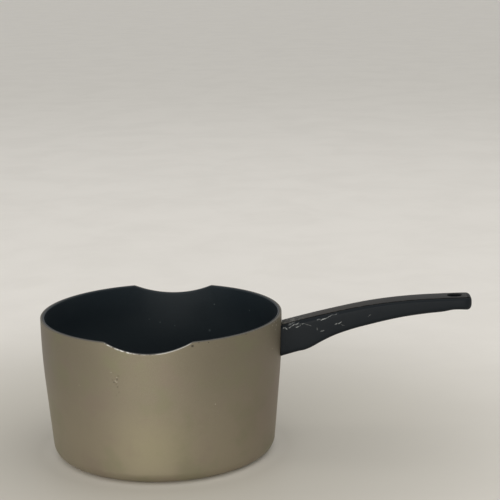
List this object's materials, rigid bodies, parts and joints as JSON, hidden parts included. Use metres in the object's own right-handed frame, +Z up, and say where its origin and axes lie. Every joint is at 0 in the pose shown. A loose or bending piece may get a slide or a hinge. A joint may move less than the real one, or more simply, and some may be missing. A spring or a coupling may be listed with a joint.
{
  "type": "candle melting pot",
  "caption": "Small coated aluminium melting pot with a pouring notch at the front and back and one swept black side handle with a hanging hole.",
  "frame": {"origin": "middle of the base on the surface that the pot stands on, on the bowl's axis", "axes": "+Z up along the bowl's axis, +X along the handle away from the bowl, pouring notches facing +Y and -Y"},
  "size_m": [0.3204, 0.18, 0.1179],
  "materials": {
    "outer_paint": "satin champagne-grey metallic paint, bare metal at the rim and base",
    "nonstick_coating": "dull black non-stick coating",
    "bare_aluminium": "bare aluminium, weld-stained",
    "handle_phenolic": "worn semi-matt black phenolic moulding",
    "zinc_steel": "bright zinc plating"
  },
  "bodies": {
    "root": {"pan_body": "outer_paint", "nonstick_lining": "nonstick_coating", "handle_stud": "bare_aluminium", "handle": "handle_phenolic", "flat_washer": "zinc_steel", "spring_washer": "zinc_steel", "handle_screw": "zinc_steel"}
  },
  "joints": []
}
